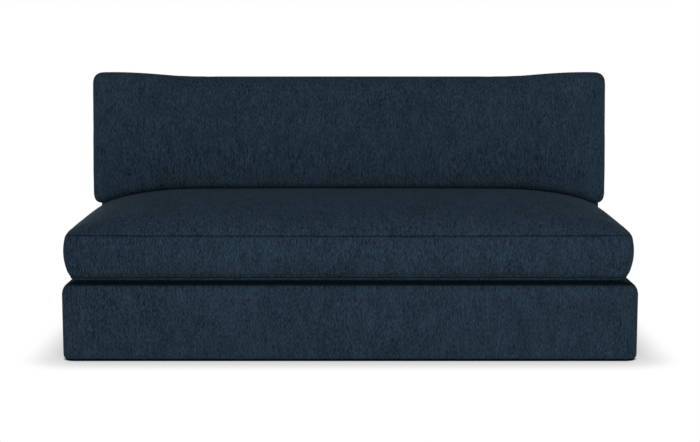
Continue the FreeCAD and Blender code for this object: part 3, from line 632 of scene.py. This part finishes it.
def boxing_spot(x, share, z):
    """A place between the seam behind the inside back and the seam before the outside back. The strip's edges are
    tucked in under both covers, and it lies a little deeper than they do."""
    whole = rear - raked(z)
    tuck = 0.004
    depth = seam_turn - tuck + (whole - 0.016 - seam_turn + 2 * tuck) * share
    spot = back_spot(x, depth, z)
    return (spot[0] - math.copysign(0.0007, x), spot[1], spot[2] - (0.0007 if z >= back_top else 0))


for side, name in ((-1, "left"), (1, "right")):
    strip = np.array([[boxing_spot(side * half_width, t, z) for z in all_heights] for t in ts])
    shoulder = np.array([[boxing_spot(side * (half_width - d), t, back_top) for d in turn] for t in ts])
    stitched_cover(name + "_back_strip", [strip, shoulder], navy_frame, [name + "_back_boxing"], "frame",
                   "frame_chenille")
top_strip = np.array([[boxing_spot(x, t, back_top) for t in ts] for x in widths[4:-4]])
stitched_cover("top_back_strip", [top_strip], navy_frame, ["top_back_boxing"], "frame", "frame_chenille")

# Dust cover. Thin black spunbond cloth stapled across the underside, with the glides' nails driven through it.
spunbond, tree, thin = noded("black_spunbond")
thin.inputs["Roughness"].default_value = 0.85
dots = grain(tree, (420, 420, 420), detail=2)
tree.links.new(mixed(tree, spread(tree, dots, 0.4, 0.6), (0.008, 0.008, 0.009), (0.028, 0.028, 0.030)),
               thin.inputs["Base Color"])
bumped(tree, thin, dots, 0.0003)
dust_low, dust_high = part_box("dust_cover")
dust_x, dust_y = steps(dust_low.x, dust_high.x, 0.03), steps(dust_low.y, dust_high.y, 0.03)
dust_points = np.array([[(x, y, dust_high.z) for y in dust_y] for x in dust_x])
dust_points[..., 2] -= 0.0006 * np.abs(ripple(dust_points, 1.0, 5.0, 8.0))
dust_sheet = stitched_cover("dust_cover_cloth", [dust_points], spunbond, ["dust_cover"], "frame", "dust_cloth",
                            thickness=0.0004)

# Floor glides. Eight moulded feet, each turned to a soft rim and driven on with a nail.
glide_plastic, tree, moulded = noded("glide_plastic")
speckle = grain(tree, (1500, 1500, 1500), detail=2)
tree.links.new(mixed(tree, spread(tree, speckle, 0.4, 0.7), (0.020, 0.020, 0.021), (0.045, 0.045, 0.046)),
               moulded.inputs["Base Color"])
tree.links.new(spread(tree, speckle, 0.3, 0.7, 0.42, 0.6), moulded.inputs["Roughness"])
bumped(tree, moulded, speckle, 0.0001)
around_glide, glide_half, inner_glide_x = 32, 0.015, 0.310
# The section of a glide from the middle of its foot to the tip of its nail, as radius and height.
glide_profile = ((0.0, 0.0), (0.0100, 0.0), (0.0118, 0.0004), (0.0128, 0.0014), (0.0140, 0.0045), (0.0148, 0.0060),
                 (0.0145, 0.0069), (0.0030, 0.0070), (0.0017, 0.0072), (0.0015, 0.0210), (0.0, 0.0230))
for group in ("front", "rear"):
    low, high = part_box(group + "_glides")
    y = (low.y + high.y) / 2
    turned = bmesh.new()
    for x in (low.x + glide_half, -inner_glide_x, inner_glide_x, high.x - glide_half):
        rings = []
        for radius, z in glide_profile:
            if radius == 0:
                rings.append([turned.verts.new((x, y, z))])
            else:
                rings.append([turned.verts.new((x + radius * math.cos(a), y + radius * math.sin(a), z))
                              for a in (2 * math.pi * k / around_glide for k in range(around_glide))])
        for near, far in zip(rings, rings[1:]):
            for k in range(around_glide):
                corners = [near[k % len(near)], near[(k + 1) % len(near)], far[(k + 1) % len(far)], far[k % len(far)]]
                turned.faces.new(list(dict.fromkeys(corners)))
    bmesh.ops.recalc_face_normals(turned, faces=turned.faces)
    mesh = bpy.data.meshes.new(group + "_turned_glides")
    turned.to_mesh(mesh)
    turned.free()
    for face in mesh.polygons:
        face.use_smooth = True
    mesh.set_sharp_from_angle(angle=math.radians(50))
    mesh.materials.append(glide_plastic)
    glides = bpy.data.objects.new(group + "_turned_glides", mesh)
    bpy.context.scene.collection.objects.link(glides)
    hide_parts(group + "_glides")
    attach(glides, "frame")

# Seat cushion. A loose bench cushion: a foam core in a fibre wrap, in a chenille case of a crowned top panel, a bottom
# panel and a boxing strip. The top and bottom seams run right round it, and the case closes with a zip at the rear.
navy_seat = chenille("navy_chenille_seat", NAVY)
seat_box_low, seat_box_high = Vector((-0.9325, -0.475, 0.25835)), Vector((0.9230, 0.322, 0.505))
lower_seam, upper_seam, seat_rise, crown_run = 0.2715, 0.411, 0.094, 0.400
seat_corner, seat_rear = 0.046, 0.3219


def crown_share(run):
    """How much of the seat's crown is reached at a distance from its side."""
    left = np.clip(1 - run / crown_run, 0, 1)
    return (1 - left ** 2.4) ** 0.75


def arc_through(start, middle, end, count=24):
    """Places along the arc through three places of a plane."""
    (ax, ay), (bx, by), (cx, cy) = start, middle, end
    d = 2 * (ax * (by - cy) + bx * (cy - ay) + cx * (ay - by))
    ux = ((ax**2 + ay**2) * (by - cy) + (bx**2 + by**2) * (cy - ay) + (cx**2 + cy**2) * (ay - by)) / d
    uy = ((ax**2 + ay**2) * (cx - bx) + (bx**2 + by**2) * (ax - cx) + (cx**2 + cy**2) * (bx - ax)) / d
    r = math.hypot(ax - ux, ay - uy)
    a0, a1 = math.atan2(ay - uy, ax - ux), math.atan2(cy - uy, cx - ux)
    turn = (a1 - a0 + math.pi) % (2 * math.pi) - math.pi
    return [(ux + r * math.cos(a0 + turn * k / count), uy + r * math.sin(a0 + turn * k / count))
            for k in range(count + 1)]


def bow(start, end, share):
    """The middle of an arc from start to end whose height is a share of its chord."""
    (ax, ay), (bx, by) = start, end
    return ((ax + bx) / 2 - (by - ay) * share, (ay + by) / 2 + (bx - ax) * share)


def seat_outline():
    """How high the top panel rises from front to rear, as a share of its crown."""
    y0, y1 = seat_box_low.y + 0.009, seat_box_high.y - 0.009
    shoulder, apex = (seat_box_low.y + 0.110, 0.62 * seat_rise), (-0.020, seat_rise)
    heel = (seat_box_high.y - 0.072, 0.72 * seat_rise)
    places = arc_through((y0, 0.0), bow((y0, 0.0), shoulder, 0.08), shoulder)
    places += arc_through(shoulder, apex, heel)[1:]
    places += arc_through(heel, bow(heel, (y1, 0.0), 0.16), (y1, 0.0))[1:]
    return np.array(places)


near_seam = (0.0, 0.003, 0.008, 0.016, 0.027, 0.040)
seat_x = steps(seat_box_low.x, seat_box_high.x, 0.0145, near_seam, near_seam)
seat_y = steps(seat_box_low.y, seat_box_high.y, 0.0145, near_seam, near_seam)
seat_z = steps(lower_seam, upper_seam, 0.013, (0.0, 0.0025, 0.005, 0.0078, 0.0105, 0.014, 0.022), near_seam[:5])
centre = (seat_box_low + seat_box_high) / 2
half_x, half_y = (seat_box_high.x - seat_box_low.x) / 2, (seat_box_high.y - seat_box_low.y) / 2


def round_plan(x, y, inset):
    """Moves places of the seat's rectangle into its outline made smaller by an inset, with round corners."""
    a, b = half_x - inset, half_y - inset
    px, py = (x - centre.x) * a / half_x, (y - centre.y) * b / half_y
    r = seat_corner
    p, q = (np.abs(px) - (a - r)) / r, (np.abs(py) - (b - r)) / r
    in_corner = (p > 0) & (q > 0)
    pc, qc = np.clip(p, 0, 1), np.clip(q, 0, 1)
    rx = (a - r) + r * pc * np.sqrt(1 - qc**2 / 2)
    ry = (b - r) + r * qc * np.sqrt(1 - pc**2 / 2)
    return (centre.x + np.where(in_corner, np.sign(px) * rx, px), centre.y + np.where(in_corner, np.sign(py) * ry, py))


def around(count_x, count_y):
    """The grid places of a panel's edge, once round it."""
    edge = [(i, 0) for i in range(count_x - 1)] + [(count_x - 1, j) for j in range(count_y - 1)]
    edge += [(i, count_y - 1) for i in range(count_x - 1, 0, -1)] + [(0, j) for j in range(count_y - 1, 0, -1)]
    return edge


def cushion_case(name, top, bottom, ring):
    """A closed case from a top grid, a bottom grid and the rows of the strip between them, each row once round.
    Returns the mesh and the vertex numbers of its rows from the bottom's edge to the top's."""
    nx, ny = top.shape[:2]
    edge = around(nx, ny)
    vertices = [tuple(p) for p in top.reshape(-1, 3)] + [tuple(p) for p in bottom.reshape(-1, 3)]
    top_at = {(i, j): i * ny + j for i in range(nx) for j in range(ny)}
    bottom_at = {(i, j): nx * ny + i * ny + j for i in range(nx) for j in range(ny)}
    rows = [[bottom_at[e] for e in edge]]
    for row in ring:
        start = len(vertices)
        vertices += [tuple(p) for p in row]
        rows.append(list(range(start, start + len(row))))
    rows.append([top_at[e] for e in edge])
    cells = []
    for i in range(nx - 1):
        for j in range(ny - 1):
            square = [(i, j), (i + 1, j), (i + 1, j + 1), (i, j + 1)]
            cells.append([top_at[s] for s in square])
            cells.append([bottom_at[s] for s in reversed(square)])
    for low, high in zip(rows, rows[1:]):
        for k in range(len(low)):
            n = (k + 1) % len(low)
            cells.append([low[k], low[n], high[n], high[k]])
    mesh = bpy.data.meshes.new(name)
    mesh.from_pydata(vertices, [], cells)
    return mesh, rows


def panel(xs, ys, inset, height):
    """A panel of the seat's case: its plan with round corners, at the height that a function gives."""
    gx, gy = np.meshgrid(xs, ys, indexing="ij")
    px, py = round_plan(gx, gy, inset)
    return np.stack([px, np.minimum(py, seat_rear), height(gx, gy)], axis=-1)


outline = seat_outline()


def top_height(gx, gy):
    """The crowned top. In front of the back cushion it keeps more of its crown near the sides."""
    run_x = half_x - np.abs(gx - centre.x)
    along = np.interp(gy, np.linspace(seat_box_low.y, seat_box_high.y, 400),
                      np.interp(np.linspace(seat_box_low.y + 0.009, seat_box_high.y - 0.009, 400),
                                outline[:, 0], outline[:, 1]))
    ahead = np.clip((0.12 - gy) / 0.07, 0, 1)
    fuller = (1 - np.clip(1 - run_x / crown_run, 0, 1) ** 2.4) ** 0.62
    return upper_seam + (crown_share(run_x) * (1 - ahead) + fuller * ahead) * along


def bottom_height(gx, gy):
    """The flat bottom, which rises to the lower seam round its edge."""
    run_x = np.clip((half_x - np.abs(gx - centre.x)) / 0.036, 0, 1)
    run_y = np.clip((half_y - np.abs(gy - centre.y)) / 0.036, 0, 1)
    g = np.sqrt(1 - (1 - run_x) ** 2) * np.sqrt(1 - (1 - run_y) ** 2)
    return lower_seam - (lower_seam - seat_box_low.z) * g


upper_seam_inset, lower_seam_inset, strip_belly = 0.006, 0.014, 0.046
seat_top = panel(seat_x, seat_y, upper_seam_inset, top_height)
seat_bottom = panel(seat_x, seat_y, lower_seam_inset, bottom_height)
edge = around(len(seat_x), len(seat_y))
edge_x = np.array([seat_x[i] for i, j in edge])
edge_y = np.array([seat_y[j] for i, j in edge])
ring = []
for z in seat_z[1:-1]:
    t = (z - lower_seam) / (upper_seam - lower_seam)
    inset = lower_seam_inset - 0.054 * t + strip_belly * t * t
    px, py = round_plan(edge_x, edge_y, inset)
    ring.append(np.stack([px, np.minimum(py, seat_rear), np.full_like(px, z)], axis=-1))
seat_mesh, seat_rows = cushion_case("seat_cushion_case", seat_top, seat_bottom, ring)


def case_of_cloth(mesh, cloth):
    """A case with all its faces turned outward, put in the scene under its mesh's name."""
    tidy = bmesh.new()
    tidy.from_mesh(mesh)
    bmesh.ops.recalc_face_normals(tidy, faces=tidy.faces)
    tidy.to_mesh(mesh)
    tidy.free()
    mesh.materials.append(cloth)
    thing = bpy.data.objects.new(mesh.name, mesh)
    bpy.context.scene.collection.objects.link(thing)
    return thing


def smooth_cloth(thing):
    """Smooth faces, each divided once more."""
    for face in thing.data.polygons:
        face.use_smooth = True
    finer = thing.modifiers.new("smooth_cloth", "SUBSURF")
    finer.levels = finer.render_levels = 1


def stuffed(thing, free, cap, pressure=0.3, frames=16):
    """Swells a case by its stuffing: cloth under pressure, a little long for its seams. A place moves by its share in
    free, and never further than the cap. The move is then put on the mesh and the cloth is taken off."""
    start = coordinates(thing.data)
    cloth = thing.modifiers.new("stuffing", "CLOTH")
    cloth.settings.quality = 5
    cloth.settings.mass = 0.35
    cloth.settings.tension_stiffness = cloth.settings.compression_stiffness = 80
    cloth.settings.shear_stiffness = 30
    cloth.settings.bending_stiffness = 1.0
    cloth.settings.use_pressure = True
    cloth.settings.uniform_pressure_force = pressure
    cloth.settings.effector_weights.gravity = 0
    cloth.settings.shrink_min = -0.002
    cloth.collision_settings.use_collision = False
    cloth.point_cache.frame_start, cloth.point_cache.frame_end = 1, frames
    for step in range(1, frames + 1):
        bpy.context.scene.frame_set(step)
    shown = thing.evaluated_get(bpy.context.evaluated_depsgraph_get())
    move = np.nan_to_num(coordinates(shown.data) - start)
    thing.modifiers.remove(cloth)
    bpy.context.scene.frame_set(1)
    size = np.linalg.norm(move, axis=1, keepdims=True)
    limited = move / np.maximum(size, 1e-9) * cap * np.tanh(size / cap)
    thing.data.vertices.foreach_set("co", (start + limited * free[:, None]).ravel())
    thing.data.update()


def coordinates(mesh):
    """The places of a mesh's points."""
    found = np.empty(len(mesh.vertices) * 3)
    mesh.vertices.foreach_get("co", found)
    return found.reshape(-1, 3)


def normals(mesh):
    """The outward directions at a mesh's points."""
    found = np.empty(len(mesh.vertices) * 3)
    mesh.vertex_normals.foreach_get("vector", found)
    return found.reshape(-1, 3)


def sewn(mesh, rows, seam_numbers, depth, pucker, seed):
    """Draws each seam in, gathers the cloth beside it in small uneven puckers that fade away from it, and marks the
    line of the seam, where the cloth's colour is painted darker as painted shade in the seam's crease."""
    place, out = coordinates(mesh), normals(mesh)
    lines = [np.array(place[rows[k]]) for k in seam_numbers]
    groove, line_width, fold_run, reach = 0.0035, 0.0022, 0.024, 0.075
    move, seam_line_and_painted_shade = np.zeros(len(place)), np.zeros(len(place))
    for nth, (k, line) in enumerate(zip(seam_numbers, lines)):
        gaps = np.linalg.norm(np.roll(line, -1, axis=0) - line, axis=1)
        along = np.concatenate([[0], np.cumsum(gaps)[:-1]])
        tree = kdtree.KDTree(len(line))
        for n, p in enumerate(line):
            tree.insert(p, n)
        tree.balance()
        for v, p in enumerate(place):
            _, n, distance = tree.find(p)
            if distance > reach:
                continue
            s = along[n]
            fold = noise.noise(Vector((s * 24, seed + nth * 7.3, 0)))
            fold += 0.6 * noise.noise(Vector((s * 61, seed + nth * 3.1, 5)))
            strength = 0.5 + noise.noise(Vector((s * 2.3, seed, 9)))
            rise = min(1.0, distance / 0.006) * math.exp(-distance / fold_run)
            move[v] += pucker * fold * rise * max(0.15, strength)
            shallow = 0.5 if 0 < k < 5 else 1.0  # a second row of stitches beside a seam
            move[v] -= shallow * depth * math.exp(-(distance / groove) ** 2)
            seam_line_and_painted_shade[v] = max(seam_line_and_painted_shade[v], shallow ** 1.6 * math.exp(-(distance / line_width) ** 2))
    place += out * move[:, None]
    mesh.vertices.foreach_set("co", place.ravel())
    # This mark darkens the cloth along each seam line, as painted shade in the seam's crease.
    mesh.attributes.new("seam", "FLOAT", "POINT").data.foreach_set("value", seam_line_and_painted_shade)
    mesh.update()


seat_case = case_of_cloth(seat_mesh, navy_seat)
place = coordinates(seat_mesh)
free = np.clip((place[:, 2] - 0.262) / 0.03, 0, 1)
free *= 1 - np.clip((place[:, 1] - 0.08) / 0.05, 0, 1) * np.clip((place[:, 2] - 0.40) / 0.02, 0, 1)
free *= np.clip((0.300 - place[:, 1]) / 0.03, 0, 1)
free *= 1 - 0.85 * np.clip((np.abs(place[:, 0] - centre.x) - half_x + 0.06) / 0.05, 0, 1)
stuffed(seat_case, free, 0.007)
sewn(seat_mesh, seat_rows, (0, 3, len(seat_rows) - 1), 0.0030, 0.0012, 2.0)
smooth_cloth(seat_case)
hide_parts("seat_top_panel", "seat_bottom_panel", "seat_boxing", "seat_zip_strip")
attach(seat_case, "seat_cushion")

# Back cushion. A loose cushion of fibre in a chenille case: a full front panel that goes round the edges, a strip, a
# rear panel and a zip strip at the foot. It stands on the seat cushion, follows its crown, and leans on the back.
navy_back = chenille("navy_chenille_back", NAVY)
cushion_half, cushion_shift, cushion_thick, cushion_height = 0.936, -0.0035, 0.222, 0.410
cushion_foot = 0.4745
tilt = math.radians(5.8)
foot_y = raked(cushion_foot) - 0.0005
cushion_round = 0.046
front_seam, rear_seam = 0.082, 0.032
ear_height, front_crown = 0.019, 0.014
near_edge = (0.0, 0.010, 0.021, 0.033, 0.046)
back_x = steps(-cushion_half, cushion_half, 0.0145, near_edge, near_edge)
back_u = steps(0.0, cushion_height, 0.0145, near_edge, near_edge)
back_f = np.array([0.0, 0.010, 0.020, 0.029, rear_seam, 0.036, 0.046, 0.062, 0.074, 0.0785, front_seam, 0.0855, 0.094,
                   0.108, 0.124, 0.140, 0.156, 0.170, 0.183, 0.196, 0.209, cushion_thick])


def cushion_spot(x, forward, up):
    """From the cushion's own measures, across, forward from the back's face and up along it, to the sofa's."""
    return np.stack([x + cushion_shift, foot_y - forward * math.cos(tilt) + up * math.sin(tilt),
                     cushion_foot + forward * math.sin(tilt) + up * math.cos(tilt)], axis=-1)


def filled(points):
    """The shape of the filled cushion: round edges, a crowned front, higher ends, and a foot that follows the seat."""
    low, high = (-cushion_half, 0.0, 0.0), (cushion_half, cushion_thick, cushion_height)
    share = np.clip(points[..., 2] / cushion_height, 0, 1)
    side = 0.024 + 0.012 * share
    soft = rounded(points, low, high, ((side, side), (0.034, cushion_round), (0.026, 0.036)))
    x, f, u = soft[..., 0], soft[..., 1], soft[..., 2]
    run = cushion_half - np.abs(x)
    share_u = np.clip(u / cushion_height, 0, 1)
    past_ear = np.clip((run - 0.060) / 0.330, 0, 1)
    ear = ear_height * np.cos(past_ear * math.pi / 2) ** 2
    crown_fall = 0.86 * seat_rise * (1 - crown_share(np.clip(run, 0, 1)))
    fall = np.minimum(0.0405 + 0.010 * np.clip(f / 0.15, 0, 1), crown_fall) - 0.0008
    u = u + ear * np.clip((share_u - 0.3) / 0.7, 0, 1) - fall * (1 - np.clip(share_u / 0.45, 0, 1)) ** 1.5
    belly = np.sin(np.clip(share_u, 0, 1) * math.pi) ** 0.8 * np.clip(run / 0.12, 0, 1) ** 0.6
    f = f + front_crown * belly * np.clip((f - 0.10) / 0.10, 0, 1)
    f = f - 0.004 * (1 - belly) * np.clip((f - 0.15) / 0.07, 0, 1)
    return cushion_spot(x, f, u)


gx, gu = np.meshgrid(back_x, back_u, indexing="ij")
back_front_face = filled(np.stack([gx, np.full_like(gx, cushion_thick), gu], axis=-1))
back_rear_face = filled(np.stack([gx, np.zeros_like(gx), gu], axis=-1))
edge = around(len(back_x), len(back_u))
edge_x = np.array([back_x[i] for i, j in edge])
edge_u = np.array([back_u[j] for i, j in edge])
ring = [filled(np.stack([edge_x, np.full_like(edge_x, f), edge_u], axis=-1)) for f in back_f[1:-1]]
back_mesh, back_rows = cushion_case("back_cushion_case", back_front_face, back_rear_face, ring)
back_case = case_of_cloth(back_mesh, navy_back)
place = coordinates(back_mesh)
depth_in = (foot_y - place[:, 1] + (place[:, 2] - cushion_foot) * math.tan(tilt)) * math.cos(tilt)
height_up = place[:, 2] - cushion_foot - depth_in * math.sin(tilt)
free = np.clip((depth_in - 0.010) / 0.04, 0, 1) * np.clip((height_up - 0.015) / 0.05, 0, 1)
seam_rows = (int(np.argmin(np.abs(back_f - rear_seam))), int(np.argmin(np.abs(back_f - front_seam))))
stuffed(back_case, free, 0.006)
sewn(back_mesh, back_rows, seam_rows, 0.0030, 0.0018, 31.0)
smooth_cloth(back_case)
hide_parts("back_cushion_front_panel", "back_cushion_rear_panel", "back_cushion_boxing",
            "back_cushion_zip_strip")
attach(back_case, "back_cushion")

# Zips. A coil of nylon teeth closes each case, and a small enamelled slider with a flat pull runs on it.
zip_teeth, tree, nylon = noded("zip_teeth")
painted_glint_and_gloss = grain(tree, (900, 900, 900), detail=1)
# Lighter flecks in the teeth's colour are painted glints; the same noise varies their roughness.
tree.links.new(mixed(tree, painted_glint_and_gloss, (0.008, 0.012, 0.018), (0.03, 0.04, 0.055)), nylon.inputs["Base Color"])
tree.links.new(spread(tree, painted_glint_and_gloss, 0.3, 0.7, 0.3, 0.5), nylon.inputs["Roughness"])
enamel = steel("zip_enamel", (0.05, 0.055, 0.065), 0.35, (600, 600, 600))
finish_solids(["seat_zip_chain", "back_zip_chain"], zip_teeth)
finish_solids(["seat_zip_slider", "seat_zip_pull", "back_zip_slider", "back_zip_pull"], enamel)
